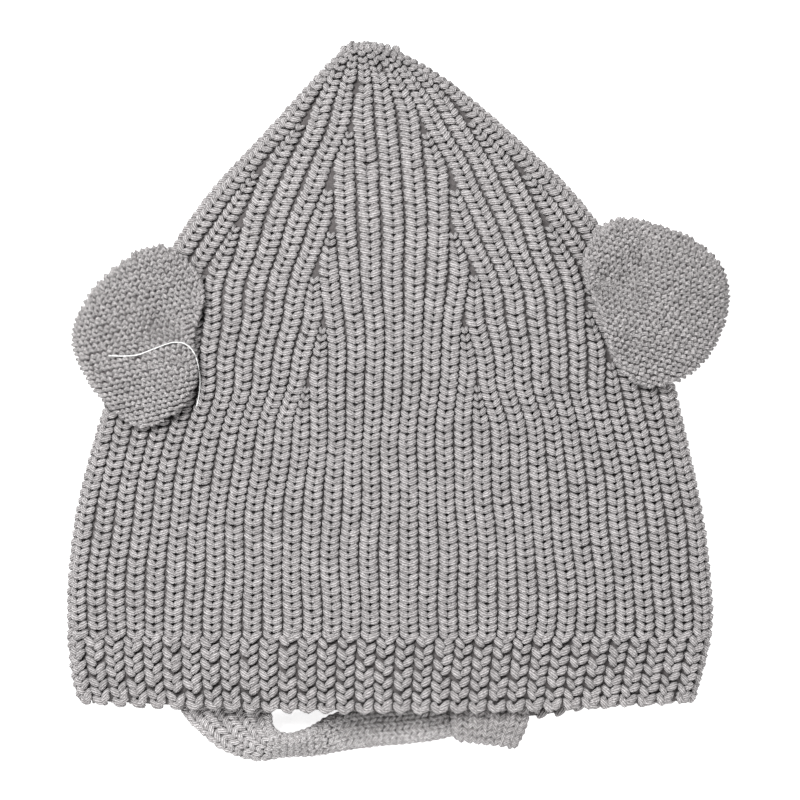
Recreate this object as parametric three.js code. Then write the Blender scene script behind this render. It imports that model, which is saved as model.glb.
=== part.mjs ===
// A knitted baby hat with two round ears and a chin strap, lying flat on its back.
// Millimetres, +Z up. The front of the hat faces up, its crown points to +Y, and it
// rests on the plane Z = 0. The origin is under the middle of its box.

import * as THREE from "three";

// ---------- driving dimensions ----------

const WALL = 4.5; // thickness of the ribbed fabric
const FOLD = 11; // height of a rounded side fold: two walls and a sliver of air
const SEAM_GAP = 0.3; // clearance between two pieces that are sewn together
const DOME_FLATNESS = 2.5; // the higher, the flatter the middle of a section
const DOME_SHOULDER = 1.3; // the higher, the softer a section runs into its folds

const BAND_TOP = -74; // where the hem band meets the crown, along Y
const BAND_FOOT = -95; // lower edge of the hem band at its side folds
const FRONT_SAG = 3; // how far the front edge hangs lower in its middle
const BACK_DIP = { x: 38, reach: 20, drop: 6 }; // where the back edge shows below the front

const CROWN_TIP = 111.6;
const INNER_TIP = 103; // where the hollow of the crown ends

const EAR_THICK = 7; // the padded look of a doubled, soft ear
const EAR_LIFT = 0.7; // clearance from the crown's upper surface
const EAR_DROOP = 0.005; // how fast an ear sinks beyond the side fold, per mm squared

const STRAP_THICK = 4;
const TAB_THICK = 4;

// Sections across the hat: place along Y, side folds in X, lowest and highest Z.
const HAT_SECTIONS = [
  { y: -96, left: -98.2, right: 90.3, low: 0, high: 19.5 },
  { y: -91, left: -101, right: 93, low: 0, high: 20.5 },
  { y: -82, left: -102.6, right: 94.8, low: 0, high: 21.5 },
  { y: -74, left: -103.2, right: 97.3, low: 0, high: 22.5 },
  { y: -60, left: -103.4, right: 97.4, low: 0, high: 24 },
  { y: -35, left: -100.8, right: 94.4, low: 0, high: 26.5 },
  { y: -8, left: -93.8, right: 88.6, low: 0, high: 28 },
  { y: 17, left: -85.6, right: 82.2, low: 0, high: 28 },
  { y: 40, left: -75.2, right: 71.6, low: 0, high: 26.5 },
  { y: 64, left: -59.9, right: 55, low: 0, high: 23.5 },
  { y: 82, left: -43, right: 36, low: 0, high: 20 },
  { y: 97, left: -29.6, right: 18.8, low: 0, high: 16.5 },
  { y: 105.5, left: -22.2, right: 7, low: 0.4, high: 14 },
  { y: 110, left: -17.4, right: -3, low: 2, high: 12 },
  { y: CROWN_TIP, left: -13.5, right: -8.5, low: 5, high: 9.5 },
];

// Ear outlines, clockwise from the top seen from above, each with the pinch that
// its sewn base pulls into it and the lobe that swells beside that pinch.
const EARS = {
  ear_left: {
    outline: [
      [-75.7, 49.2], [-67, 45.2], [-60.6, 37.6], [-60, 29.4], [-62.9, 20.5], [-61.6, 8],
      [-65.4, -2], [-72.5, -7], [-80.8, -9.4], [-89.6, -3.6], [-98, 7], [-102.4, 19.5],
      [-98.3, 31.2], [-88.8, 42],
    ],
    pinch: { from: [-60, 23.5], to: [-80, 31.5], width: 3.2, depth: 3.4 },
    lobe: { at: [-71, 10], reach: 15, swell: 3.5 },
  },
  ear_right: {
    outline: [
      [66.6, 57], [79, 55.7], [91.6, 51], [100.3, 43.2], [103.3, 33], [99.6, 18.6],
      [91, 7.8], [79.8, 3], [69.5, 6.4], [64.6, 15], [60.4, 28.6], [56.2, 39.5],
      [58.6, 49.4],
    ],
    pinch: { from: [61, 35.5], to: [76, 48], width: 3, depth: 3 },
    lobe: { at: [75, 26], reach: 15, swell: 1.8 },
  },
};

// The strap's middle line from its left hidden end to its right one: the centre of
// each section, its width and how far it is turned about its length, in degrees.
const STRAP_SECTIONS = [
  { x: -69, y: -79, z: 7.4, width: 20, turn: 0 },
  { x: -61, y: -86, z: 7.4, width: 24, turn: 0 },
  { x: -54, y: -93.5, z: 7.4, width: 26, turn: 0 },
  { x: -49, y: -101, z: 7.2, width: 21, turn: 0 },
  { x: -43, y: -106.4, z: 6.4, width: 14, turn: 22 },
  { x: -36, y: -107.8, z: 6, width: 11, turn: 58 },
  { x: -27, y: -106.6, z: 4.8, width: 11, turn: 42 },
  { x: -18, y: -103.6, z: 3.2, width: 12, turn: 12 },
  { x: -8, y: -102.2, z: 3.2, width: 12, turn: 0 },
  { x: 2, y: -101.2, z: 5.4, width: 12, turn: 0 },
  { x: 12, y: -99.6, z: 7, width: 12, turn: 0 },
  { x: 22, y: -96.6, z: 7.1, width: 12, turn: 0 },
  { x: 33, y: -92.4, z: 7.1, width: 12, turn: 0 },
  { x: 46, y: -87, z: 7.1, width: 12, turn: 0 },
  { x: 60, y: -81, z: 7.1, width: 12, turn: 0 },
];

// The tab, from its sewn end inside the hem to its free foot.
const TAB_SECTIONS = [
  { x: 29, y: -84, z: 11.6, width: 22, turn: 0 },
  { x: 28.5, y: -92, z: 11.5, width: 23, turn: 0 },
  { x: 28, y: -98, z: 11.4, width: 24, turn: 0 },
  { x: 27.3, y: -103, z: 11.3, width: 22, turn: 0 },
  { x: 26.8, y: -106.8, z: 10.8, width: 19, turn: 0 },
];

// ---------- curves and tables ----------

const clamp = THREE.MathUtils.clamp;

// Smooth value of one column of a table at a place along its key column.
function columnAt(table, key, place, column) {
  const last = table.length - 1;
  const at = clamp(place, table[0][key], table[last][key]);
  let i = 0;
  while (i < last - 1 && at > table[i + 1][key]) i += 1;
  const row = (k) => table[clamp(k, 0, last)];
  const span = row(i + 1)[key] - row(i)[key];
  const slope = (k) => {
    const rise = row(k + 1)[column] - row(k - 1)[column];
    return rise / (row(k + 1)[key] - row(k - 1)[key]);
  };
  const t = (at - row(i)[key]) / span;
  const keepStart = (1 + 2 * t) * (1 - t) ** 2;
  const keepEnd = t * t * (3 - 2 * t);
  const leaveStart = t * (1 - t) ** 2 * span;
  const reachEnd = t * t * (t - 1) * span;
  return (
    keepStart * row(i)[column] + keepEnd * row(i + 1)[column]
    + leaveStart * slope(i) + reachEnd * slope(i + 1)
  );
}

// A bell that is 1 in its middle and dies away over about twice its reach.
const bell = (distance, reach) => Math.exp(-((distance / reach) ** 2));

// ---------- meshes from rings of points ----------

// Joins rings of equally many points into one closed surface. A closed loft runs from
// its last ring back to its first, and an open one is capped at both ends.
function loftGeometry(rings, closed) {
  const count = rings[0].length;
  const points = rings.flat();
  const faces = [];
  const bands = closed ? rings.length : rings.length - 1;
  for (let band = 0; band < bands; band += 1) {
    const near = band * count;
    const far = ((band + 1) % rings.length) * count;
    for (let i = 0; i < count; i += 1) {
      const j = (i + 1) % count;
      faces.push([near + i, near + j, far + j], [near + i, far + j, far + i]);
    }
  }
  if (!closed) {
    for (const [start, outward] of [[0, false], [(rings.length - 1) * count, true]]) {
      const ring = points.slice(start, start + count);
      const hub = points.length;
      points.push(centreOf(ring));
      for (let i = 0; i < count; i += 1) {
        const j = (i + 1) % count;
        faces.push(outward ? [start + i, start + j, hub] : [start + j, start + i, hub]);
      }
    }
  }
  return solidGeometry(points, faces);
}

function centreOf(ring) {
  const sum = new THREE.Vector3();
  for (const point of ring) sum.add(point);
  return sum.divideScalar(ring.length);
}

// Builds the geometry, turning every face over where they were wound inward.
function solidGeometry(points, faces) {
  let volume = 0;
  for (const [a, b, c] of faces) {
    volume += points[a].dot(new THREE.Vector3().crossVectors(points[b], points[c]));
  }
  const outward = volume > 0 ? faces : faces.map(([a, b, c]) => [a, c, b]);
  const geometry = new THREE.BufferGeometry().setFromPoints(points);
  geometry.setIndex(outward.flat());
  geometry.computeVertexNormals();
  return geometry;
}

// ---------- the hat's shell ----------

const FLAT_STEPS = 22; // points across the front of a section, and across its back
const FOLD_STEPS = 6; // points round each side fold

// The section of the hat at a place along Y.
function sectionAt(y) {
  const column = (name) => columnAt(HAT_SECTIONS, "y", y, name);
  const left = column("left");
  const right = column("right");
  const low = Math.max(column("low"), 0);
  const high = column("high");
  const radius = Math.min(FOLD, high - low, right - left) / 2;
  return {
    middle: (left + right) / 2,
    reach: (right - left) / 2 - radius,
    radius,
    low,
    dome: Math.max(high - low - 2 * radius, 0),
  };
}

// Height of a section's upper outer surface, where across runs from -1 to 1.
function topOfSection(section, across) {
  const rise = (1 - Math.abs(across) ** DOME_FLATNESS) ** DOME_SHOULDER;
  return section.low + 2 * section.radius + section.dome * rise;
}

// A ring round the hat, inset from its outer surface: the front from left to right, the
// right fold, the back from right to left, and the left fold.
function hatRing(y, inset) {
  const section = sectionAt(y);
  const foldRadius = section.radius - inset;
  const ring = [];
  const add = (x, z) => ring.push(new THREE.Vector3(x, y, z));
  for (let i = 0; i <= FLAT_STEPS; i += 1) {
    const across = -1 + (2 * i) / FLAT_STEPS;
    add(section.middle + across * section.reach, topOfSection(section, across) - inset);
  }
  addFold(1);
  for (let i = 0; i <= FLAT_STEPS; i += 1) {
    const across = 1 - (2 * i) / FLAT_STEPS;
    add(section.middle + across * section.reach, section.low + inset);
  }
  addFold(-1);
  return ring;

  function addFold(side) {
    for (let i = 1; i < FOLD_STEPS; i += 1) {
      const turn = (Math.PI * i) / FOLD_STEPS;
      const out = Math.sin(turn) * foldRadius;
      const up = Math.cos(turn) * foldRadius * side;
      const centre = section.middle + side * section.reach;
      add(centre + side * out, section.low + section.radius + up);
    }
  }
}

// Places along Y between two ends, spaced a step apart or a little less.
function placesBetween(start, end, step) {
  const count = Math.max(1, Math.ceil(Math.abs(end - start) / step));
  return Array.from({ length: count + 1 }, (_, i) => start + ((end - start) * i) / count);
}

function crownGeometry() {
  const tipSections = [105.5, 108, 110, 111, CROWN_TIP];
  const outside = [...placesBetween(BAND_TOP, 101, 9), ...tipSections];
  const inside = placesBetween(BAND_TOP, INNER_TIP, 10);
  const rings = outside.reverse().map((y) => hatRing(y, 0));
  rings.push(...inside.map((y) => hatRing(y, WALL)));
  return loftGeometry(rings, false);
}

// How far the band's lower edge hangs below its ends at the side folds.
function edgeDrop(point) {
  const section = sectionAt(BAND_FOOT);
  const across = (point.x - section.middle) / (section.reach + section.radius);
  const onFront = point.z > section.low + section.radius;
  const sag = FRONT_SAG * Math.max(0, 1 - across * across);
  const dip = BACK_DIP.drop * bell(point.x - BACK_DIP.x, BACK_DIP.reach);
  return onFront ? sag : dip;
}

function hemBandGeometry() {
  const top = BAND_TOP - SEAM_GAP;
  const places = placesBetween(top, BAND_FOOT, 5.5);
  const bandRing = (y, inset) => {
    const lowered = (y - top) / (BAND_FOOT - top);
    return hatRing(y, inset).map((point) => {
      return point.setY(point.y - lowered * edgeDrop(point));
    });
  };
  const rings = places.map((y) => bandRing(y, 0));
  rings.push(...places.reverse().map((y) => bandRing(y, WALL)));
  return loftGeometry(rings, true);
}

// ---------- ears ----------

const EAR_SPOKES = 44;
const EAR_RINGS = [0.16, 0.34, 0.52, 0.68, 0.82, 0.92, 0.98];

// The surface that an ear lies on: the crown's front, then a slow droop past its fold.
function earBed(x, y) {
  const section = sectionAt(y);
  const across = (x - section.middle) / section.reach;
  const beyond = (Math.abs(across) - 1) * section.reach;
  const fold = topOfSection(section, clamp(across, -1, 1));
  return EAR_LIFT + fold - (beyond > 0 ? EAR_DROOP * beyond * beyond : 0);
}

// How deep the pinch is at a point: full along its line, fading sideways and at its end.
function pinchDepth(pinch, x, y) {
  const from = new THREE.Vector2(...pinch.from);
  const along = new THREE.Vector2(...pinch.to).sub(from);
  const offset = new THREE.Vector2(x, y).sub(from);
  const share = clamp(offset.dot(along) / along.lengthSq(), 0, 1);
  const distance = offset.sub(along.multiplyScalar(share)).length();
  return pinch.depth * (1 - 0.7 * share) * bell(distance, pinch.width);
}

function earGeometry({ outline, pinch, lobe }) {
  const corners = outline.map(([x, y]) => new THREE.Vector3(x, y, 0));
  const rim = new THREE.CatmullRomCurve3(corners, true).getSpacedPoints(EAR_SPOKES);
  rim.pop();
  const hub = centreOf(rim);
  const padRing = (share, side) => rim.map((edge) => {
    const point = hub.clone().lerp(edge, share);
    const fullness = Math.sqrt(1 - share ** 5);
    const bed = earBed(point.x, point.y);
    const fromLobe = Math.hypot(point.x - lobe.at[0], point.y - lobe.at[1]);
    const swell = lobe.swell * bell(fromLobe, lobe.reach);
    const upper = EAR_THICK / 2 + swell - pinchDepth(pinch, point.x, point.y);
    const half = side > 0 ? upper : EAR_THICK / 2;
    return point.setZ(bed + EAR_THICK / 2 + side * half * fullness);
  });
  const rings = EAR_RINGS.map((share) => padRing(share, 1));
  rings.push(padRing(1, 1));
  rings.push(...EAR_RINGS.slice().reverse().map((share) => padRing(share, -1)));
  return loftGeometry(rings, false);
}

// ---------- strap and tab ----------

const BAND_SIDES = 12;
const OBLONG_POWER = 0.55; // squares an ellipse off into a rounded oblong
const BAND_STEP = 4;

// A soft-edged band through a table of sections, each flat across its path and turned
// about it by its own angle.
function bandGeometry(sections, thick) {
  const centres = sections.map(({ x, y, z }) => new THREE.Vector3(x, y, z));
  const path = new THREE.CatmullRomCurve3(centres);
  const steps = Math.ceil(path.getLength() / BAND_STEP);
  const rows = sections.map((row, index) => ({ ...row, index }));
  const rings = [];
  for (let i = 0; i <= steps; i += 1) {
    const along = path.getUtoTmapping(i / steps);
    const place = along * (sections.length - 1);
    const forward = path.getTangent(along);
    const width = columnAt(rows, "index", place, "width");
    const turn = THREE.MathUtils.degToRad(columnAt(rows, "index", place, "turn"));
    const side = new THREE.Vector3(forward.y, -forward.x, 0).normalize();
    const up = new THREE.Vector3().crossVectors(side, forward).normalize();
    side.applyAxisAngle(forward, turn);
    up.applyAxisAngle(forward, turn);
    rings.push(oblongRing(path.getPoint(along), side, up, width / 2, thick / 2));
  }
  return loftGeometry(rings, false);
}

function oblongRing(centre, side, up, halfWidth, halfThick) {
  const ring = [];
  for (let i = 0; i < BAND_SIDES; i += 1) {
    const turn = (2 * Math.PI * (i + 0.5)) / BAND_SIDES;
    const c = Math.cos(turn);
    const s = Math.sin(turn);
    const across = Math.sign(c) * Math.abs(c) ** OBLONG_POWER * halfWidth;
    const rise = Math.sign(s) * Math.abs(s) ** OBLONG_POWER * halfThick;
    ring.push(centre.clone().addScaledVector(side, across).addScaledVector(up, rise));
  }
  return ring;
}

// ---------- the scene graph ----------

const yarn = (colour) => new THREE.MeshStandardMaterial({
  color: colour,
  roughness: 0.95,
  metalness: 0,
  side: THREE.FrontSide,
});

function piece(name, geometry, colour) {
  const mesh = new THREE.Mesh(geometry, yarn(colour));
  mesh.name = name;
  return mesh;
}

const hat = new THREE.Group();
hat.add(piece("crown", crownGeometry(), 0xa39f9f));
hat.add(piece("hem_band", hemBandGeometry(), 0xa8a4a3));
for (const [name, ear] of Object.entries(EARS)) {
  hat.add(piece(name, earGeometry(ear), 0xa6a2a1));
}
hat.add(piece("chin_strap", bandGeometry(STRAP_SECTIONS, STRAP_THICK), 0xaaa6a5));
hat.add(piece("strap_tab", bandGeometry(TAB_SECTIONS, TAB_THICK), 0xaaa6a5));

export default hat;
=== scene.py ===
"""A knitted baby hat with two round ears and a chin strap, lying flat on its back.

Every loop of yarn is a short tube. The loops are placed on the smooth skin of each
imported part: the hat's skin is read off the crown and the hem band, and a chart of ribs
and decreases says where each loop lies on it. All lengths are in metres.
"""

import math

import bpy
import numpy as np
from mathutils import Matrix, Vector
from mathutils.bvhtree import BVHTree


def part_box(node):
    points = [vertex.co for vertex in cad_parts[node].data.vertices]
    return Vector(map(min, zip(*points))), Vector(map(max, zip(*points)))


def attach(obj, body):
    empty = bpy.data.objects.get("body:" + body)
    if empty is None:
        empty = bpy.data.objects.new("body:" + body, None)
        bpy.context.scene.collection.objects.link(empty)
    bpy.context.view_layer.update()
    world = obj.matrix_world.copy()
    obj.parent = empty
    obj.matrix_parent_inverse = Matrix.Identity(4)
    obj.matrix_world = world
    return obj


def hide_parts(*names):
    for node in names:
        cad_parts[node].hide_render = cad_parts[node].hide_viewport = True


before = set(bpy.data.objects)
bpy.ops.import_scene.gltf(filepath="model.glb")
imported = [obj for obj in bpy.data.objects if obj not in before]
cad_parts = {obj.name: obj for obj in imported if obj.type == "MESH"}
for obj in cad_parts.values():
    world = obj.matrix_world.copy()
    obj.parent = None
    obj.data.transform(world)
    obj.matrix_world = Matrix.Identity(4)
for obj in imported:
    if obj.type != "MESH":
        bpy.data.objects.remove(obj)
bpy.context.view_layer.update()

MM = 0.001
DRAW = np.random.default_rng(7)

# ---------- driving dimensions ----------

WALL = 4.5 * MM  # thickness of the ribbed fabric
FOLD = 11 * MM  # height of a rounded side fold
DOME_FLATNESS = 2.5  # the shape of a section's upper side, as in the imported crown
DOME_SHOULDER = 1.3

YARN = 1.05 * MM  # radius of the plied yarn in the crown
ROW = 2.29 * MM  # height of one row of the crown on its middle line
ROW_STRETCH = 0.32 * MM  # how much taller a row is at the side folds
GROUND_DEPTH = 1.9 * YARN  # how far the fabric's closed ground lies below its surface

HALF_RIB = 2.86 * MM  # half the width of a full rib
QUARTER_RIBS = 17  # ribs from the middle of the front to a side fold
STRANDS = 8  # fine strands that show round the yarn
LAY = 13 * MM  # length in which a strand goes once round the yarn


# ---------- the hat's skin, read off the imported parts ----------

def tree_of(*nodes):
    """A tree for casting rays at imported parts."""
    corners = []
    faces = []
    for node in nodes:
        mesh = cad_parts[node].data
        offset = len(corners)
        corners.extend(vertex.co.copy() for vertex in mesh.vertices)
        faces.extend([offset + i for i in face.vertices] for face in mesh.polygons)
    return BVHTree.FromPolygons(corners, faces)


def probe(tree, start, toward):
    """Where a ray first meets the tree, or None."""
    return tree.ray_cast(Vector(start), Vector(toward))[0]


def softened(values, places, reach):
    """A running mean that narrows to nothing at both ends of the row."""
    room = np.minimum(places - places[0], places[-1] - places)
    result = np.empty_like(values)
    for i, place in enumerate(places):
        near = np.abs(places - place) <= min(reach, room[i]) + 1e-9
        result[i] = values[near].mean()
    return result


# Where the decreases pucker the front near the tip, in mm.
TIP_DENTS = [
    {"x": -13.2, "y": 97.0, "reach": 2.6, "depth": 2.4},
    {"x": -6.1, "y": 103.3, "reach": 2.4, "depth": 2.2},
    {"x": -9.0, "y": 73.0, "reach": 3.0, "depth": 1.6},
]


class Skin:
    """A surface by a place along it, in metres, and a turn round it from -2 to 2."""

    def slopes(self, y, turn):
        """Change of the point per metre along and per unit of turn."""
        dy = 0.5 * MM
        dt = 0.004
        along = (self.point(y + dy, turn) - self.point(y - dy, turn)) / (2 * dy)
        around = (self.point(y, turn + dt) - self.point(y, turn - dt)) / (2 * dt)
        return along, around

    def normal(self, y, turn):
        """Outward unit normals."""
        along, around = self.slopes(y, turn)
        return unit(np.cross(around, along))


def stadium(turn, reach, radius):
    """Places round a flat section with round ends: across it, above its middle, and
    the share of the straight stretch, negative on the left. Turn 0 is its upper middle.
    """
    turn = (turn + 2) % 4 - 2
    side = np.where(turn < 0, -1.0, 1.0)
    upper = np.where(np.abs(turn) <= 1, 1.0, -1.0)
    share = np.where(upper > 0, np.abs(turn), 2 - np.abs(turn))
    length = share * (reach + radius * math.pi / 2)
    bend = np.clip((length - reach) / radius, 0, math.pi / 2)
    across = side * (np.minimum(length, reach) + radius * np.sin(bend))
    above = upper * radius * np.cos(bend)
    straight = np.clip(length / np.maximum(reach, 1e-9), 0, 1)
    return across, above, straight, upper > 0


class HatSkin(Skin):
    """The outer surface of the hat, by place along Y and turn round the opening.

    The turn is 0 on the middle of the front, 1 and -1 on the right and left side
    folds, and 2 or -2 on the middle of the back. It grows evenly round a section.
    """

    def __init__(self):
        self.tree = tree_of("crown", "hem_band")
        low_corner, high_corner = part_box("crown")
        self.band_top = low_corner[1]
        self.tip = high_corner[1]
        self.height = self.tip - self.band_top
        self.start = self.band_top - 0.5 * MM
        self.end = self.tip
        self.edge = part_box("hem_band")[0][1]
        fold_middle = FOLD / 2
        places = np.arange(self.edge + 6.5 * MM, self.tip - 0.1 * MM, 1 * MM)
        rows = [self.measure(y, fold_middle) for y in places]
        self.places = places
        left, right, low, high = np.array(rows).T
        self.left, self.right, self.low, self.high = (
            softened(column, places, 5 * MM) for column in (left, right, low, high)
        )

    def measure(self, y, fold_middle):
        """Side folds and lowest and highest point of the section at y."""
        far = 1.0
        y = float(y)
        near_tip = min(fold_middle, 7 * MM)
        left = probe(self.tree, (-far, y, near_tip), (1, 0, 0)).x
        right = probe(self.tree, (far, y, near_tip), (-1, 0, 0)).x
        middle = (left + right) / 2
        low = probe(self.tree, (middle, y, -far), (0, 0, 1)).z
        high = probe(self.tree, (middle, y, far), (0, 0, -1)).z
        return left, right, low, high

    def section(self, y):
        """Middle, straight reach, fold radius, lowest point and dome height at y."""
        left, right, low, high = (
            np.interp(y, self.places, column)
            for column in (self.left, self.right, self.low, self.high)
        )
        radius = np.minimum(np.minimum(FOLD, high - low), right - left) / 2
        reach = (right - left) / 2 - radius
        dome = np.maximum(high - low - 2 * radius, 0)
        return (left + right) / 2, reach, radius, low, dome

    def half_round(self, y):
        """Length from the middle of the front to the side fold."""
        _, reach, radius, _, _ = self.section(y)
        return reach + radius * math.pi / 2

    def point(self, y, turn):
        """Points on the skin, for arrays of y and turn."""
        middle, reach, radius, low, dome = self.section(y)
        across, above, straight, front = stadium(turn, reach, radius)
        rise = np.where(front, dome * (1 - straight**DOME_FLATNESS) ** DOME_SHOULDER, 0)
        for dent in TIP_DENTS:
            far = np.hypot(middle + across - dent["x"] * MM, y - dent["y"] * MM)
            rise = rise - front * dent["depth"] * MM * np.exp(-(far / (dent["reach"] * MM)) ** 2)
        x = middle + across
        return np.stack([x, y + 0 * x, low + radius + above + rise], axis=-1)


class HemSkin(Skin):
    """The hem band's outer or inner surface: the hat's, drawn down to the band's edge."""

    def __init__(self, hat, inset=0.0):
        self.hat = hat
        self.inset = inset
        self.top = hat.band_top
        self.foot = hat.places[0]
        self.start = self.foot - 2 * MM
        self.end = self.top + 1 * MM
        tree = tree_of("hem_band")
        self.turns = np.linspace(-2, 2, 161)
        inside = hat.point(self.foot + 0 * self.turns, self.turns)
        inside = inside - WALL / 2 * hat.normal(self.foot + 0 * self.turns, self.turns)
        edges = [probe(tree, (x, -1, z), (0, 1, 0)) for x, _, z in inside]
        self.drops = np.array([self.foot - edge.y if edge else 0 for edge in edges])

    def point(self, y, turn):
        share = np.clip((self.top - y) / (self.top - self.foot), 0, 1.3)
        drop = np.interp((turn + 2) % 4 - 2, self.turns, self.drops)
        inner = self.hat.point(y, turn)
        if self.inset:
            inner = inner - self.inset * self.hat.normal(y, turn)
        inner[..., 1] -= share * drop
        return inner

    def normal(self, y, turn):
        outward = self.hat.normal(y, turn)
        return -outward if self.inset else outward


class BandSkin(Skin):
    """The surface of a strap that runs through a table of sections, by length along it."""

    def __init__(self, sections, thick):
        columns = {key: np.array([row[key] for row in sections]) for key in sections[0]}
        knots = np.arange(len(sections))
        fine = np.linspace(0, knots[-1], 30 * len(sections))
        path = np.stack([smooth(fine, columns[axis] * MM) for axis in "xyz"], -1)
        steps = np.linalg.norm(np.diff(path, axis=0), axis=1)
        self.run = np.concatenate([[0], np.cumsum(steps)])
        self.length = self.run[-1]
        self.start = 0
        self.end = self.length
        self.path = path
        self.width = smooth(fine, columns["width"] * MM)
        self.thick = thick
        forward = unit(np.gradient(path, self.run, axis=0))
        flat_side = unit(np.stack([forward[:, 1], -forward[:, 0], 0 * forward[:, 0]], -1))
        flat_up = np.cross(flat_side, forward)
        roll = np.radians(smooth(fine, columns["turn"].astype(float)))[:, None]
        self.side = np.cos(roll) * flat_side + np.sin(roll) * flat_up * -1
        self.up = np.cos(roll) * flat_up + np.sin(roll) * flat_side

    def pick(self, along, values):
        along = np.clip(along, 0, self.length)
        if values.ndim == 1:
            return np.interp(along, self.run, values)
        return np.stack([np.interp(along, self.run, column) for column in values.T], -1)

    def point(self, along, turn):
        along = along + 0 * turn
        width = self.pick(along, self.width)
        radius = self.thick / 2
        across, above, _, _ = stadium(turn, width / 2 - radius, radius + 0 * width)
        centre = self.pick(along, self.path)
        side = unit(self.pick(along, self.side))
        up = unit(self.pick(along, self.up))
        return centre + across[..., None] * side + above[..., None] * up


def smooth(at, values):
    """A smooth curve through evenly spaced values, at places counted in values."""
    padded = np.concatenate([[2 * values[0] - values[1]], values, [2 * values[-1] - values[-2]]])
    i = np.clip(at.astype(int), 0, len(values) - 2)
    t = at - i
    before, start, end, after = (padded[i + k] for k in range(4))
    bend = 2 * before - 5 * start + 4 * end - after
    swing = 3 * start - before - 3 * end + after
    return 0.5 * (2 * start + (end - before) * t + bend * t**2 + swing * t**3)


def unit(vectors):
    return vectors / np.maximum(np.linalg.norm(vectors, axis=-1, keepdims=True), 1e-12)


# ---------- tubes of yarn ----------

SIDES = 6


def tube_arrays(centres, radii, up):
    """Closed tubes along M centre lines of K points: corners, quads and triangles."""
    count, steps, _ = centres.shape
    forward = unit(np.gradient(centres, axis=1))
    side = unit(np.cross(forward, up))
    rise = np.cross(side, forward)
    turns = 2 * math.pi * np.arange(SIDES) / SIDES
    ring = (
        np.cos(turns)[:, None] * side[:, :, None, :]
        + np.sin(turns)[:, None] * rise[:, :, None, :]
    )
    walls = centres[:, :, None, :] + radii[:, :, None, None] * ring
    walls = walls.reshape(count, steps * SIDES, 3)
    ends = centres[:, [0, -1]] + forward[:, [0, -1]] * radii[:, [0, -1], None] * [[-0.5], [0.5]]
    corners = np.concatenate([walls, ends], axis=1)
    size = steps * SIDES + 2

    step, spoke = np.meshgrid(np.arange(steps - 1), np.arange(SIDES), indexing="ij")
    here = step * SIDES + spoke
    beside = step * SIDES + (spoke + 1) % SIDES
    quads = np.stack([here, here + SIDES, beside + SIDES, beside], -1).reshape(-1, 4)
    spokes = np.arange(SIDES)
    after = (spokes + 1) % SIDES
    last = (steps - 1) * SIDES
    start_cap = np.stack([spokes, after, np.full(SIDES, size - 2)], -1)
    end_cap = np.stack([last + after, last + spokes, np.full(SIDES, size - 1)], -1)
    caps = np.concatenate([start_cap, end_cap])

    offset = (np.arange(count) * size)[:, None, None]
    return (
        corners.reshape(-1, 3),
        (quads[None] + offset).reshape(-1, 4),
        (caps[None] + offset).reshape(-1, 3),
    )


def tube_wraps(centres, count, steps):
    """For every face corner of the tubes: share round the yarn, and length along it."""
    lengths = np.linalg.norm(np.diff(centres, axis=1), axis=-1)
    run = np.concatenate([np.zeros((count, 1)), np.cumsum(lengths, axis=1)], axis=1)
    step, spoke = np.meshgrid(np.arange(steps - 1), np.arange(SIDES), indexing="ij")
    around = np.stack([spoke, spoke, spoke + 1, spoke + 1], -1).reshape(-1) / SIDES
    rows = np.stack([step, step + 1, step + 1, step], -1).reshape(-1)
    wall = np.stack([np.broadcast_to(around, (count, around.size)), run[:, rows]], -1)
    spokes = np.arange(SIDES)
    cap_round = np.stack([spokes, spokes + 1, spokes + 0.5], -1).reshape(-1) / SIDES
    cap_round = np.concatenate([cap_round + 0, cap_round])
    start = np.zeros((count, 3 * SIDES))
    end = np.repeat(run[:, -1:], 3 * SIDES, axis=1)
    caps = np.stack([np.broadcast_to(cap_round, (count, 6 * SIDES)),
                     np.concatenate([start, end], axis=1)], -1)
    return wall.reshape(-1, 2), caps.reshape(-1, 2)


def mesh_object(name, corners, quads, triangles=None):
    """A smooth-shaded mesh object from arrays."""
    mesh = bpy.data.meshes.new(name)
    mesh.vertices.add(len(corners))
    mesh.vertices.foreach_set("co", np.asarray(corners, np.float32).ravel())
    loops = [quads.ravel()]
    sizes = [np.full(len(quads), 4)]
    if triangles is not None:
        loops.append(triangles.ravel())
        sizes.append(np.full(len(triangles), 3))
    loops = np.concatenate(loops)
    sizes = np.concatenate(sizes)
    mesh.loops.add(len(loops))
    mesh.loops.foreach_set("vertex_index", loops.astype(np.int32))
    mesh.polygons.add(len(sizes))
    starts = np.concatenate([[0], np.cumsum(sizes)[:-1]])
    mesh.polygons.foreach_set("loop_start", starts.astype(np.int32))
    mesh.polygons.foreach_set("use_smooth", np.ones(len(sizes), bool))
    mesh.update(calc_edges=True)
    piece = bpy.data.objects.new(name, mesh)
    bpy.context.scene.collection.objects.link(piece)
    return piece


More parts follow.
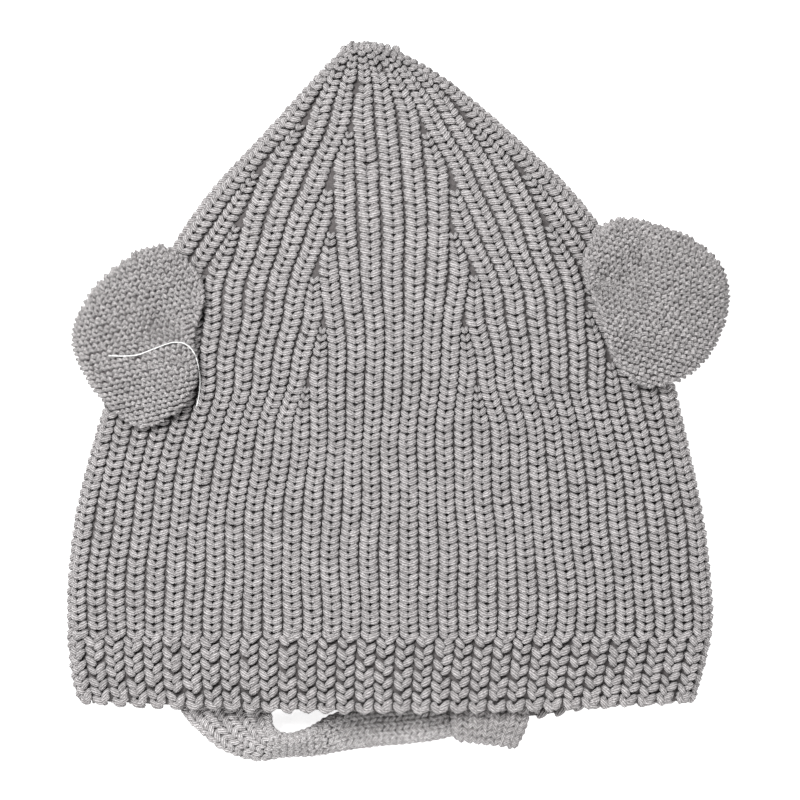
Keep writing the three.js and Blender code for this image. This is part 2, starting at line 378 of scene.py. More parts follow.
def yarn_piece(name, centres, radii, up, twist):
    """One mesh of many short yarn tubes, with the yarn's wrap and tone on it.

    The twist is 1 or -1 for each tube: the way its strands wind.
    """
    count, steps, _ = centres.shape
    corners, quads, caps = tube_arrays(centres, radii, up)
    # Loops under the hat are pressed flat on the floor.
    corners[:, 2] = np.maximum(corners[:, 2], 0.02 * MM)
    piece = mesh_object(name, corners, quads, caps)
    wall_wraps, cap_wraps = tube_wraps(centres, count, steps)
    wraps = np.concatenate([wall_wraps, cap_wraps])
    starts = DRAW.random(count)
    per_wall = len(wall_wraps) // count
    per_cap = len(cap_wraps) // count
    spread = lambda value: np.concatenate([np.repeat(value, per_wall), np.repeat(value, per_cap)])
    wraps = np.stack([wraps[:, 0] * spread(twist) + spread(starts), wraps[:, 1] / LAY], -1)
    layer = piece.data.uv_layers.new(name="yarn")
    layer.data.foreach_set("uv", wraps.astype(np.float32).ravel())
    tone = piece.data.attributes.new("tone", "FLOAT", "POINT")
    per_tube = steps * SIDES + 2
    tone.data.foreach_set("value", np.repeat(DRAW.random(count), per_tube).astype(np.float32))
    return piece


# ---------- the chart of the crown ----------

# Each round of decreases takes one rib away at the line between the front's middle and
# its side, and one at the line nearer to the fold. The places are distances down from
# the tip, as shares of the crown's height, where the rib runs out; a place of -1 is a
# rib that goes all the way into the gathered tip.
DECREASES = [
    {"inner": 0.544, "outer": 0.495},
    {"inner": 0.445, "outer": 0.418},
    {"inner": 0.352, "outer": 0.359},
    {"inner": 0.285, "outer": 0.270},
    {"inner": 0.205, "outer": 0.180},
    {"inner": 0.115, "outer": 0.095},
    {"inner": -1, "outer": -1},
    {"inner": -1, "outer": -1},
]
NARROWING = 0.11  # share of the crown's height over which a rib runs out


def grown(down, place):
    """How much of a rib there is, from 0 where it runs out to 1."""
    t = np.clip((down - place) / NARROWING, 0, 1)
    return t * t * (3 - 2 * t)


def rib_bounds(down):
    """Every rib from the middle of the front to the fold: its two edges in turns, and
    the share of a full rib that it still is.

    Ribs are counted outward from the front's middle, both ways from the middle of the
    side, and inward from the fold, so each decrease takes the rib next to its line.
    """
    places = {line: [row[line] for row in DECREASES] for line in ("inner", "outer")}
    total = lambda line, first: sum(grown(down, p) for p in places[line][first::2])
    middle = 0.5 + total("inner", 1)
    inward = total("inner", 0)
    outward = total("outer", 1)
    edge = 0.5 + total("outer", 0)
    whole = middle + inward + outward + edge
    anchor = middle + inward
    ribs = [(-0.5 + 0 * down, 0.5 + 0 * down)]
    half = len(DECREASES) // 2
    for k in range(half):
        ribs.append((k + 0.5 + 0 * down, np.clip(middle, k + 0.5, k + 1.5)))
    for k in range(half):
        ribs.append((anchor - np.clip(inward, k, k + 1), anchor - k))
    for k in range(half):
        ribs.append((anchor + k, anchor + np.clip(outward, k, k + 1)))
    for k in range(half):
        ribs.append((whole - np.clip(edge, k + 0.5, k + 1.5), whole - k - 0.5))
    ribs.append((whole - 0.5, whole + 0.5))
    return [(low / whole, high / whole, high - low) for low, high in ribs]


# One side of a loop, from its foot in the middle of the rib to where it dives into the
# furrow: place across in half ribs, along in rows, depth and thickness in yarn radii.
LOOP_SIDE = np.array([
    # across, along, depth, thickness
    [0.06, -0.32, -0.85, 0.66],
    [0.23, -0.23, -0.18, 0.97],
    [0.45, -0.04, 0.00, 1.08],
    [0.64, 0.17, -0.42, 1.00],
    [0.74, 0.38, -1.70, 0.76],
])

THINNEST_RIB = 0.26  # share of a full rib below which no more loops are made


def wander(y, turn):
    """How far the ribs stray sideways from an even lay, in turns."""
    waves = 0.5 * np.sin(140 * y + 7 * turn) + 0.3 * np.sin(230 * y - 11 * turn + 2)
    return 0.1 / QUARTER_RIBS * waves


def rib_rows(skin, low_turn, high_turn, share, places):
    """Frames for the rows of one rib, from the hem band to where the rib runs out."""
    width = (high_turn - low_turn) * skin.half_round(places)
    alive = share > THINNEST_RIB
    last = len(places) if alive.all() else int(np.argmin(alive))
    if last < 8:
        return None
    y = places[:last]
    turn = ((low_turn + high_turn) / 2)[:last]
    line = skin.point(y, turn)
    run = np.concatenate([[0], np.cumsum(np.linalg.norm(np.diff(line, axis=0), axis=1))])
    fold_share = np.abs(turn)
    fold_share = np.where(fold_share > 1, 2 - fold_share, fold_share)
    pitch = ROW + ROW_STRETCH * fold_share**2
    rows_done = np.concatenate([[0], np.cumsum(np.diff(run) / pitch[1:])])
    row = np.arange(0.5, rows_done[-1], 1.0)
    pick = lambda values: np.interp(row, rows_done, values)
    y_row, turn_row = pick(y), pick(turn)
    dy = np.gradient(y, run)
    dturn = np.gradient(turn, run)
    return {
        "y": y_row, "turn": turn_row, "pitch": pick(pitch), "width": pick(width[:last]),
        "dy": pick(dy), "dturn": pick(dturn),
    }


def across_rib(skin, rows):
    """Steps of y and turn for a metre straight across a rib, at each of its rows."""
    along, around = skin.slopes(rows["y"], rows["turn"])
    forward = unit(along * rows["dy"][:, None] + around * rows["dturn"][:, None])
    across = np.cross(forward, skin.normal(rows["y"], rows["turn"]))
    yy = (along * along).sum(-1)
    yt = (along * around).sum(-1)
    tt = (around * around).sum(-1)
    to_y = (across * along).sum(-1)
    to_t = (across * around).sum(-1)
    det = yy * tt - yt * yt
    step_y = (tt * to_y - yt * to_t) / det
    step_turn = (yy * to_t - yt * to_y) / det
    flip = np.where(step_turn < 0, -1.0, 1.0)
    squareness = np.abs((across * unit(around)).sum(-1))
    return step_y * flip, step_turn * flip, squareness


def loops_on_rib(skin, rows, yarn, shape, full_half, stagger=0.0, uneven=1.0):
    """Centre lines, radii, up vectors and twists of both sides of every loop of a rib.

    The stagger is how far a loop's right side lies ahead of its left one, in rows, and
    uneven scales how much loops differ.
    """
    step_y, step_turn, squareness = across_rib(skin, rows)
    count = len(rows["y"])
    half = rows["width"] * squareness / 2
    fullness = np.clip(half / full_half, 0.3, 1.25) ** 0.5
    lines, radii, ups, twists = [], [], [], []
    for side in (-1, 1):
        across, along, depth, thick = shape.T
        jitter = DRAW.normal(0, uneven, (count, 4))
        c = side * across[None] * half[:, None] * (1 + 0.03 * jitter[:, :1])
        ahead = along[None] + side * stagger / 2 + 0.05 * jitter[:, 1:2]
        t = ahead * rows["pitch"][:, None]
        thickness = yarn * fullness[:, None] * thick[None] * (1 + 0.03 * jitter[:, 2:3])
        n = -0.35 * yarn + depth[None] * yarn * fullness[:, None] + 0.05 * yarn * jitter[:, 3:]
        y = rows["y"][:, None] + c * step_y[:, None] + t * rows["dy"][:, None]
        turn = rows["turn"][:, None] + c * step_turn[:, None] + t * rows["dturn"][:, None]
        y = np.clip(y, skin.start, skin.end)
        up = skin.normal(y, turn)
        lines.append(skin.point(y, turn) + n[..., None] * up)
        radii.append(thickness)
        ups.append(up)
        twists.append(np.full(count, side))
    return tuple(np.concatenate(part) for part in (lines, radii, ups, twists))


def crown_pieces(skin):
    """The crown's loops in four pieces: front and back, left and right."""
    places = np.linspace(skin.band_top, skin.tip - 0.2 * MM, 400)
    down = (skin.tip - places) / skin.height
    ribs = rib_bounds(down)
    pieces = []
    quarters = {
        "crown_front_right": lambda turn: turn,
        "crown_front_left": lambda turn: -turn,
        "crown_back_right": lambda turn: 2 - turn,
        "crown_back_left": lambda turn: turn - 2,
    }
    for name, placed in quarters.items():
        gathered = []
        for index, (low, high, share) in enumerate(ribs):
            # A rib on the middle line or on a fold is made once, by the first piece.
            if index == 0 and name.endswith("left"):
                continue
            if index == len(ribs) - 1 and "back" in name:
                continue
            edges = np.sort(np.stack([placed(low), placed(high)]), axis=0)
            rows = rib_rows(skin, edges[0], edges[1], share, places)
            if rows is not None:
                rows["turn"] = rows["turn"] + wander(rows["y"], rows["turn"])
                gathered.append(loops_on_rib(skin, rows, YARN, LOOP_SIDE, HALF_RIB))
        pieces.append(yarn_piece(name, *(np.concatenate(part) for part in zip(*gathered))))
    return pieces


GROUND_ROWS = 60
GROUND_TURNS = 240


def crown_ground(skin):
    """The closed fabric behind the loops, open at the hem band."""
    rows = np.linspace(skin.band_top, skin.tip - 1 * MM, GROUND_ROWS)
    turns = np.linspace(-2, 2, GROUND_TURNS, endpoint=False)
    y, turn = np.meshgrid(rows, turns, indexing="ij")
    outer = skin.point(y, turn) - GROUND_DEPTH * skin.normal(y, turn)
    inner_rows = np.linspace(skin.band_top, skin.tip - 9 * MM, 40)
    y, turn = np.meshgrid(inner_rows, turns, indexing="ij")
    inner = skin.point(y, turn) - WALL * skin.normal(y, turn)
    rings = np.concatenate([outer[::-1], inner])
    return ringed_piece("crown_ground", rings)


def colour_inside(ground, material):
    """Gives the faces of the crown's ground that look into the hollow their own yarn."""
    ground.data.materials.append(material)
    faces = len(ground.data.polygons)
    inside = np.zeros(faces, np.int32)
    inside[GROUND_ROWS * GROUND_TURNS:] = 1
    # The cap outside the tip comes just before the cap inside it.
    inside[faces - 2 * GROUND_TURNS:faces - GROUND_TURNS] = 0
    ground.data.polygons.foreach_set("material_index", inside)


def tip_gather(skin):
    """The last loops, drawn together across the end of the tip from front to back."""
    count = 9
    across = np.linspace(-0.7, 0.7, count)
    behind = np.where(across < 0, -2 - across, 2 - across)
    y = skin.tip - 2.2 * MM - 2 * MM * across**2
    front, back = skin.point(y, across), skin.point(y, behind)
    over = np.linspace(0, 1, 7)[None, :, None]
    lines = front[:, None] * (1 - over) + back[:, None] * over
    lines[..., 1] += 1.5 * MM * np.sin(math.pi * over[..., 0]) ** 0.5
    lines[..., 0] += DRAW.normal(0, 0.2 * MM, (count, 7))
    radii = np.full((count, 7), 0.9 * YARN)
    up = np.broadcast_to(np.array([0.0, 1.0, 0.02]), lines.shape)
    return yarn_piece("tip_gather", lines, radii, up, np.ones(count))


# ---------- the hem band ----------

HEM_ROWS = 7
HEM_UNEVEN = 1.8  # how much more the band's loops differ than the crown's
HEM_SHIFT = -0.0095  # turns by which the band's ribs stand beside the crown's

# One side of a hem loop: steeper than the crown's, so the two sides make a braid.
HEM_SIDE = np.array([
    # across, along, depth, thickness
    [0.04, -0.42, -1.15, 0.70],
    [0.20, -0.28, -0.25, 0.98],
    [0.42, -0.02, 0.05, 1.12],
    [0.64, 0.20, -0.35, 1.02],
    [0.80, 0.40, -1.50, 0.78],
])

# The cast-off cup that closes a rib at the band's edge.
CUP = np.array([
    # across, along, depth, thickness
    [-0.62, 0.60, -0.9, 0.75],
    [-0.58, 0.02, -0.3, 1.0],
    [0.0, -0.34, -0.5, 1.1],
    [0.58, 0.02, -0.3, 1.0],
    [0.62, 0.60, -0.9, 0.75],
])


def level_rows(skin, turn, places):
    """Frames for rows at given places on a rib that keeps its turn."""
    dt = 0.5 / QUARTER_RIBS
    left, right = skin.point(places, turn - dt), skin.point(places, turn + dt)
    pitch = abs(places[1] - places[0])
    same = np.ones(len(places))
    along, _ = skin.slopes(places, turn * same)
    return {
        "y": places, "turn": turn * same, "pitch": pitch * same,
        "width": np.linalg.norm(right - left, axis=-1),
        "dy": 1 / np.linalg.norm(along, axis=-1), "dturn": 0 * same,
    }


def hem_pieces(hat):
    """Loops on the band's outside and inside, and the cups along its edge."""
    pieces = []
    turns = np.arange(-2 * QUARTER_RIBS, 2 * QUARTER_RIBS) / QUARTER_RIBS + HEM_SHIFT
    for name, inset in (("hem_band_outside", 0), ("hem_band_inside", WALL)):
        skin = HemSkin(hat, inset)
        pitch = (skin.top - skin.foot) / HEM_ROWS
        places = skin.foot + 0.6 * MM + pitch * (np.arange(HEM_ROWS) + 0.65)
        gathered = [
            loops_on_rib(
                skin, level_rows(skin, turn, places), YARN, HEM_SIDE, HALF_RIB, 0.5, HEM_UNEVEN)
            for turn in turns
        ]
        pieces.append(yarn_piece(name, *(np.concatenate(part) for part in zip(*gathered))))
    skin = HemSkin(hat)
    gathered = []
    for turn in turns:
        rows = level_rows(skin, turn, np.array([skin.foot + 2.2 * MM, skin.foot + 4.5 * MM]))
        edge_rows = {key: value[:1] for key, value in rows.items()}
        gathered.append([part[1:] for part in loops_on_rib(skin, edge_rows, YARN, CUP, HALF_RIB)])
    pieces.append(yarn_piece("hem_band_edge", *(np.concatenate(p) for p in zip(*gathered))))
    return pieces


def hem_ground(hat):
    """The closed fabric between the band's two faces of loops."""
    turns = np.linspace(-2, 2, 240, endpoint=False)
    skin = HemSkin(hat)
    rim = 1.4 * MM
    rings = []
    for y, depth in (
        (skin.top - 0.2 * MM, GROUND_DEPTH), (skin.foot + rim, GROUND_DEPTH),
        (skin.foot + rim, WALL - GROUND_DEPTH * 0.8), (skin.top - 0.2 * MM, WALL - GROUND_DEPTH * 0.8),
    ):
        place = np.full(len(turns), y)
        rings.append(skin.point(place, turns) - depth * skin.normal(place, turns))
    return ringed_piece("hem_band_ground", np.array(rings), closed=True)


# ---------- the ears ----------

EAR_YARN = 0.66 * MM
EAR_STITCH = 2.05 * MM
EAR_ROW = 1.58 * MM

# The way the rows of each ear stack up, as an angle from +X in degrees.
EAR_STACKING = {"ear_left": 104, "ear_right": 72}

# Dents and swellings of each ear's upper face: the place as shares of the ear's box, how
# far they reach and how high they stand, in mm.
EAR_RELIEF = {
    "ear_left": [
        {"x": 0.62, "y": 0.60, "reach": 5, "height": -3.2},
        {"x": 0.76, "y": 0.55, "reach": 4.5, "height": -4.2},
        {"x": 0.90, "y": 0.51, "reach": 4.5, "height": -4.4},
        {"x": 0.72, "y": 0.28, "reach": 11, "height": 2.2},
        {"x": 0.72, "y": 0.78, "reach": 9, "height": 1.8},
    ],
    "ear_right": [
        {"x": 0.20, "y": 0.57, "reach": 4.5, "height": -4.2},
        {"x": 0.30, "y": 0.66, "reach": 4, "height": -4.2},
        {"x": 0.42, "y": 0.76, "reach": 4.5, "height": -3.5},
        {"x": 0.33, "y": 0.30, "reach": 3, "height": -2.8},
        {"x": 0.50, "y": 0.52, "reach": 9, "height": 2.0},
        {"x": 0.20, "y": 0.82, "reach": 7, "height": 1.6},
    ],
}

# A purl bump: an arch over the row below it.
BUMP = np.array([
    # along the row, up the rows, depth, thickness
    [-0.38, -0.56, -2.2, 0.65],
    [-0.27, -0.10, -0.6, 0.96],
    [0.0, 0.16, 0.25, 1.08],
    [0.27, -0.10, -0.6, 0.96],
    [0.38, -0.56, -2.2, 0.65],
])


def smooth_copy(node):
    """Corners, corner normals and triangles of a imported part, smoothed once."""
    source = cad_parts[node]
    mesh = source.data.copy()
    copy = bpy.data.objects.new("smoothed", mesh)
    bpy.context.scene.collection.objects.link(copy)
    weld = copy.modifiers.new("weld", "WELD")
    weld.merge_threshold = 0.01 * MM
    rounder = copy.modifiers.new("rounder", "SUBSURF")
    rounder.levels = rounder.render_levels = 1
    triangulate = copy.modifiers.new("triangulate", "TRIANGULATE")
    triangulate.quad_method = "BEAUTY"
    evaluated = copy.evaluated_get(bpy.context.evaluated_depsgraph_get())
    shaped = evaluated.to_mesh()
    corners = np.array([vertex.co[:] for vertex in shaped.vertices])
    normals = np.array([vertex.normal[:] for vertex in shaped.vertices])
    triangles = np.array([face.vertices[:] for face in shaped.polygons])
    evaluated.to_mesh_clear()
    bpy.data.objects.remove(copy)
    bpy.data.meshes.remove(mesh)
    return corners, normals, triangles


def slice_loops(corners, normals, triangles, heights, level):
    """Closed lines where a plane cuts a mesh: points and normals along each of them."""
    above = heights > level
    crossing = triangles[above[triangles].any(1) & ~above[triangles].all(1)]
    links = {}
    places = {}
    for triangle in crossing:
        cut = []
        for a, b in ((0, 1), (1, 2), (2, 0)):
            edge = tuple(sorted((int(triangle[a]), int(triangle[b]))))
            if above[edge[0]] != above[edge[1]]:
                cut.append(edge)
                if edge not in places:
                    i, j = edge
                    t = (level - heights[i]) / (heights[j] - heights[i])
                    places[edge] = (
                        corners[i] + t * (corners[j] - corners[i]),
                        normals[i] + t * (normals[j] - normals[i]),
                    )
        links.setdefault(cut[0], []).append(cut[1])
        links.setdefault(cut[1], []).append(cut[0])
    loops = []
    unused = set(links)
    for start in sorted(links):
        if start not in unused:
            continue
        walk = [start]
        unused.discard(start)
        while True:
            onward = [edge for edge in links[walk[-1]] if edge in unused]
            if not onward:
                break
            walk.append(onward[0])
            unused.discard(onward[0])
        if len(walk) > 5:
            points, ups = zip(*(places[edge] for edge in walk))
            loops.append((np.array(points + points[:1]), np.array(ups + ups[:1])))
    return loops


def ear_pieces(node):
    """Rows of purl bumps round an ear, and the closed pad of fabric under them."""
    corners, normals, triangles = smooth_copy(node)
    low, high = (np.array(corner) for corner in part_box(node))
    facing_up = np.clip(normals[:, 2], 0, 1)
    lift = np.zeros(len(corners))
    for dent in EAR_RELIEF[node]:
        middle = low[:2] + np.array([dent["x"], dent["y"]]) * (high - low)[:2]
        far = np.linalg.norm(corners[:, :2] - middle, axis=1) / (dent["reach"] * MM)
        lift += dent["height"] * MM * np.exp(-far**2)
    corners[:, 2] += lift * facing_up
    angle = math.radians(EAR_STACKING[node])
    stacking = np.array([math.cos(angle), math.sin(angle), 0])
    heights = corners @ stacking
    levels = np.arange(heights.min() + 0.4 * EAR_ROW, heights.max(), EAR_ROW)
    lines, radii, ups = [], [], []
    along, rise, depth, thick = BUMP.T
    for index, level in enumerate(levels):
        for points, line_ups in slice_loops(corners, normals, triangles, heights, level + 1e-7):
            steps = np.linalg.norm(np.diff(points, axis=0), axis=1)
            run = np.concatenate([[0], np.cumsum(steps)])
            count = max(3, round(run[-1] / EAR_STITCH))
            width = run[-1] / count
            place = (np.arange(count) + 0.5 * (index % 2)) * width
            jitter = DRAW.normal(0, 1, (count, 3))
            place = (place + 0.06 * width * jitter[:, 0]) % run[-1]
            pick = lambda values, at: np.stack(
                [np.interp(at % run[-1], run, column) for column in values.T], -1)
            offsets = place[:, None] + along[None] * width
            up = unit(pick(line_ups, offsets))
            ahead = unit(pick(points, place + 0.2 * width) - pick(points, place - 0.2 * width))
            row_up = unit(np.cross(up, ahead[:, None]))
            row_up *= np.sign((row_up @ stacking).mean())
            climb = (rise[None] + 0.08 * jitter[:, 1:2]) * EAR_ROW
            sink = (-1 + depth[None] + 0.1 * jitter[:, 2:3]) * EAR_YARN
            lines.append(pick(points, offsets) + climb[..., None] * row_up + sink[..., None] * up)
            radii.append(np.broadcast_to(thick * EAR_YARN, (count, len(thick))))
            ups.append(up)
    lines, radii, ups = (np.concatenate(part) for part in (lines, radii, ups))
    loops = yarn_piece(node + "_loops", lines, radii, ups, np.ones(len(lines)))
    inner = corners - 2.3 * EAR_YARN * unit(normals)
    ground = mesh_object(node + "_ground", inner, np.empty((0, 4), int), triangles)
    return loops, ground


# ---------- the strap and its tab ----------

# The strap's middle line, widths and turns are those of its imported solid, in mm.
STRAP_SECTIONS = [
    {"x": -69, "y": -79, "z": 7.4, "width": 20, "turn": 0},
    {"x": -61, "y": -86, "z": 7.4, "width": 24, "turn": 0},
    {"x": -54, "y": -93.5, "z": 7.4, "width": 26, "turn": 0},
    {"x": -49, "y": -101, "z": 7.2, "width": 21, "turn": 0},
    {"x": -43, "y": -106.4, "z": 6.4, "width": 14, "turn": 22},
    {"x": -36, "y": -107.8, "z": 6, "width": 11, "turn": 58},
    {"x": -27, "y": -106.6, "z": 4.8, "width": 11, "turn": 42},
    {"x": -18, "y": -103.6, "z": 3.2, "width": 12, "turn": 12},
    {"x": -8, "y": -102.2, "z": 3.2, "width": 12, "turn": 0},
    {"x": 2, "y": -101.2, "z": 5.4, "width": 12, "turn": 0},
    {"x": 12, "y": -99.6, "z": 7, "width": 12, "turn": 0},
    {"x": 22, "y": -96.6, "z": 7.1, "width": 12, "turn": 0},
    {"x": 33, "y": -92.4, "z": 7.1, "width": 12, "turn": 0},
    {"x": 46, "y": -87, "z": 7.1, "width": 12, "turn": 0},
    {"x": 60, "y": -81, "z": 7.1, "width": 12, "turn": 0},
]
TAB_SECTIONS = [
    {"x": 29, "y": -84, "z": 11.6, "width": 22, "turn": 0},
    {"x": 28.5, "y": -92, "z": 11.5, "width": 23, "turn": 0},
    {"x": 28, "y": -98, "z": 11.4, "width": 24, "turn": 0},
    {"x": 27.3, "y": -103, "z": 11.3, "width": 22, "turn": 0},
    {"x": 26.8, "y": -106.8, "z": 10.8, "width": 19, "turn": 0},
]
STRAP_THICK = 4 * MM
STRAP_ROW = 2.1 * MM
STRAP_YARN = 0.9 * MM


def band_pieces(node, sections, columns):
    """Columns of loops along a strap, round both of its faces, and its ground."""
    skin = BandSkin(sections, STRAP_THICK)
    places = np.arange(0.5, skin.length / STRAP_ROW - 0.3) * STRAP_ROW
    gathered = []
    half_column = 0.5 / columns
    for turn in (np.arange(4 * columns) + 0.5) / columns - 2:
        same = np.ones(len(places))
        width = np.linalg.norm(
            skin.point(places, turn + half_column) - skin.point(places, turn - half_column), axis=-1)
        rows = {
            "y": places, "turn": turn * same, "pitch": STRAP_ROW * same, "width": width,
            "dy": same, "dturn": 0 * same,
        }
        gathered.append(loops_on_rib(skin, rows, STRAP_YARN, STRAP_SIDE, width.mean() / 2))
    loops = yarn_piece(node + "_loops", *(np.concatenate(part) for part in zip(*gathered)))
    rows = np.linspace(0.3 * MM, skin.length - 0.3 * MM, 70)
    turns = np.linspace(-2, 2, 32, endpoint=False)
    y, turn = np.meshgrid(rows, turns, indexing="ij")
    rings = skin.point(y, turn) - 1.5 * STRAP_YARN * skin.normal(y, turn)
    return loops, ringed_piece(node + "_ground", rings)


STRAP_SIDE = np.array([
    # across, along, depth, thickness
    [0.06, -0.44, -0.75, 0.70],
    [0.25, -0.32, -0.12, 0.98],
    [0.50, -0.02, 0.00, 1.05],
    [0.74, 0.28, -0.25, 0.96],
    [0.84, 0.56, -1.10, 0.70],
])


# ---------- the loose thread on the left ear ----------

THREAD_RADIUS = 0.19 * MM

# The thread's route over the ear, as shares of the ear's width and length.
THREAD_ROUTE = [
    (0.291, 0.393), (0.40, 0.391), (0.509, 0.398), (0.634, 0.431), (0.765, 0.462),
    (0.859, 0.451), (0.925, 0.393), (0.955, 0.287), (0.950, 0.20), (0.932, 0.126),
]


def loose_thread(loops):
    """The thread, lying on the ear's bumps and then on the crown's loops."""
    low, high = (np.array(corner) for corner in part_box("ear_left"))
    route = np.array(THREAD_ROUTE)
    at = np.linspace(0, len(route) - 1, 60)
    x = low[0] + smooth(at, route[:, 0]) * (high[0] - low[0])
    y = low[1] + smooth(at, route[:, 1]) * (high[1] - low[1])
    graph = bpy.context.evaluated_depsgraph_get()
    trees = [BVHTree.FromObject(piece, graph) for piece in loops]
    tops = []
    for a, b in zip(x, y):
        hits = [tree.ray_cast((a, b, 1), (0, 0, -1))[0] for tree in trees]
        tops.append(max(hit.z for hit in hits if hit))
    # The thread bridges the hollows between the loops.
    padded = np.pad(tops, 2, mode="edge")
    bridged = np.max([padded[k:k + len(at)] for k in range(5)], axis=0)
    z = np.convolve(np.pad(bridged, 4, mode="edge"), np.ones(9) / 9, mode="valid")
    line = np.stack([x, y, z + THREAD_RADIUS], -1)[None]
    radii = np.full((1, len(at)), THREAD_RADIUS)
    up = np.broadcast_to(np.array([0.0, 0.0, 1.0]), line.shape)
    return yarn_piece("loose_thread", line, radii, up, np.ones(1))


def ringed_piece(name, rings, closed=False):
    """A solid through rings of points, capped at both ends unless it closes on itself."""
    count, size, _ = rings.shape
    bands = count if closed else count - 1
    band, i = np.meshgrid(np.arange(bands), np.arange(size), indexing="ij")
    near = band * size
    far = (band + 1) % count * size
    j = (i + 1) % size
    quads = np.stack([near + i, near + j, far + j, far + i], -1).reshape(-1, 4)
    corners = rings.reshape(-1, 3)
    triangles = None
    if not closed:
        hubs = np.stack([rings[0].mean(0), rings[-1].mean(0)])
        corners = np.concatenate([corners, hubs])
        spokes = np.arange(size)
        after = (spokes + 1) % size
        last = (count - 1) * size
        start = np.stack([after, spokes, np.full(size, count * size)], -1)
        end = np.stack([last + spokes, last + after, np.full(size, count * size + 1)], -1)
        triangles = np.concatenate([start, end])
    return mesh_object(name, corners, quads, triangles)


# ---------- materials ----------

def yarn_material(name, colour, fleck, looped=True):
    """Plied grey cotton: twisted plies, mixed fibres and a soft, faintly hairy surface. On looped
    yarn, painted shade darkens the colour in the grooves between the plies.
    """
    material = bpy.data.materials.new(name)
    material.use_nodes = True
    tree = material.node_tree
    nodes, links = tree.nodes, tree.links
    shader = nodes["Principled BSDF"]
    shader.inputs["Roughness"].default_value = 0.9
    shader.inputs["Sheen Weight"].default_value = 0.25
    shader.inputs["Sheen Roughness"].default_value = 0.6
    shader.inputs["Specular IOR Level"].default_value = 0.2

    place = nodes.new("ShaderNodeTexCoord")
    fibres = nodes.new("ShaderNodeTexNoise")
    fibres.inputs["Scale"].default_value = 1400
    fibres.inputs["Detail"].default_value = 3
    links.new(place.outputs["Object"], fibres.inputs["Vector"])
    mixed = nodes.new("ShaderNodeMix")
    mixed.data_type = "RGBA"
    mixed.inputs["A"].default_value = (*fleck, 1)
    mixed.inputs["B"].default_value = (*colour, 1)
    spread = nodes.new("ShaderNodeMapRange")
    spread.inputs["From Min"].default_value = 0.32
    spread.inputs["From Max"].default_value = 0.62
    links.new(fibres.outputs["Fac"], spread.inputs["Value"])
    links.new(spread.outputs["Result"], mixed.inputs["Factor"])
    surface_colour = mixed.outputs["Result"]

    if looped:
        wrap = nodes.new("ShaderNodeUVMap")
        wrap.uv_map = "yarn"
        split = nodes.new("ShaderNodeSeparateXYZ")
        links.new(wrap.outputs["UV"], split.inputs["Vector"])
        plies = nodes.new("ShaderNodeMath")
        plies.operation = "MULTIPLY"
        plies.inputs[1].default_value = STRANDS
        links.new(split.outputs["X"], plies.inputs[0])
        twist = nodes.new("ShaderNodeMath")
        twist.operation = "MULTIPLY_ADD"
        twist.inputs[1].default_value = STRANDS
        links.new(split.outputs["Y"], twist.inputs[0])
        links.new(plies.outputs["Value"], twist.inputs[2])
        phase = nodes.new("ShaderNodeMath")
        phase.operation = "MULTIPLY_ADD"
        phase.inputs[1].default_value = 2 * math.pi
        links.new(twist.outputs["Value"], phase.inputs[0])
        links.new(fibres.outputs["Fac"], phase.inputs[2])
        wave = nodes.new("ShaderNodeMath")
        wave.operation = "SINE"
        links.new(phase.outputs["Value"], wave.inputs[0])
        ply_height = nodes.new("ShaderNodeMapRange")
        ply_height.inputs["From Min"].default_value = -1
        links.new(wave.outputs["Value"], ply_height.inputs["Value"])

        tone = nodes.new("ShaderNodeAttribute")
        tone.attribute_name = "tone"
        shade = nodes.new("ShaderNodeMapRange")
        shade.inputs["To Min"].default_value = 0.88
        shade.inputs["To Max"].default_value = 1.08
        links.new(tone.outputs["Fac"], shade.inputs["Value"])
        # Painted shade: the colour darkens to 0.42 of itself in the grooves between the plies.
        ply_groove_shade = nodes.new("ShaderNodeMapRange")
        ply_groove_shade.inputs["To Min"].default_value = 0.42
        ply_groove_shade.inputs["To Max"].default_value = 1.0
        links.new(ply_height.outputs["Result"], ply_groove_shade.inputs["Value"])
        both = nodes.new("ShaderNodeMath")
        both.operation = "MULTIPLY"
        links.new(shade.outputs["Result"], both.inputs[0])
        links.new(ply_groove_shade.outputs["Result"], both.inputs[1])
        tinted = nodes.new("ShaderNodeVectorMath")
        tinted.operation = "SCALE"
        links.new(surface_colour, tinted.inputs[0])
        links.new(both.outputs["Value"], tinted.inputs["Scale"])
        surface_colour = tinted.outputs["Vector"]

        relief = nodes.new("ShaderNodeMath")
        relief.operation = "MULTIPLY_ADD"
        relief.inputs[1].default_value = 0.25
        links.new(fibres.outputs["Fac"], relief.inputs[0])
        links.new(ply_height.outputs["Result"], relief.inputs[2])
        height = relief.outputs["Value"]
    else:
        height = fibres.outputs["Fac"]

    links.new(surface_colour, shader.inputs["Base Color"])
    bump = nodes.new("ShaderNodeBump")
    bump.inputs["Strength"].default_value = 1.0
    bump.inputs["Distance"].default_value = 0.3 * MM
    links.new(height, bump.inputs["Height"])
    links.new(bump.outputs["Normal"], shader.inputs["Normal"])
    return material


def dress(piece, material, slot, *nodes):
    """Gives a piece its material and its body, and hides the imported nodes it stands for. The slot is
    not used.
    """
    piece.data.materials.append(material)
    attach(piece, "root")
    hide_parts(*nodes)


# ---------- the scene ----------

def lay_floor():
    bpy.ops.mesh.primitive_plane_add(size=6, location=(0, 0, 0))
    floor = bpy.context.object
    floor.name = "floor"
    material = bpy.data.materials.new("floor")
    material.use_nodes = True
    shader = material.node_tree.nodes["Principled BSDF"]
    shader.inputs["Base Color"].default_value = (0.9, 0.9, 0.9, 1)
    shader.inputs["Roughness"].default_value = 1
    shader.inputs["Specular IOR Level"].default_value = 0
    shader.inputs["Emission Color"].default_value = (1, 1, 1, 1)
    shader.inputs["Emission Strength"].default_value = 0.75
    floor.data.materials.append(material)


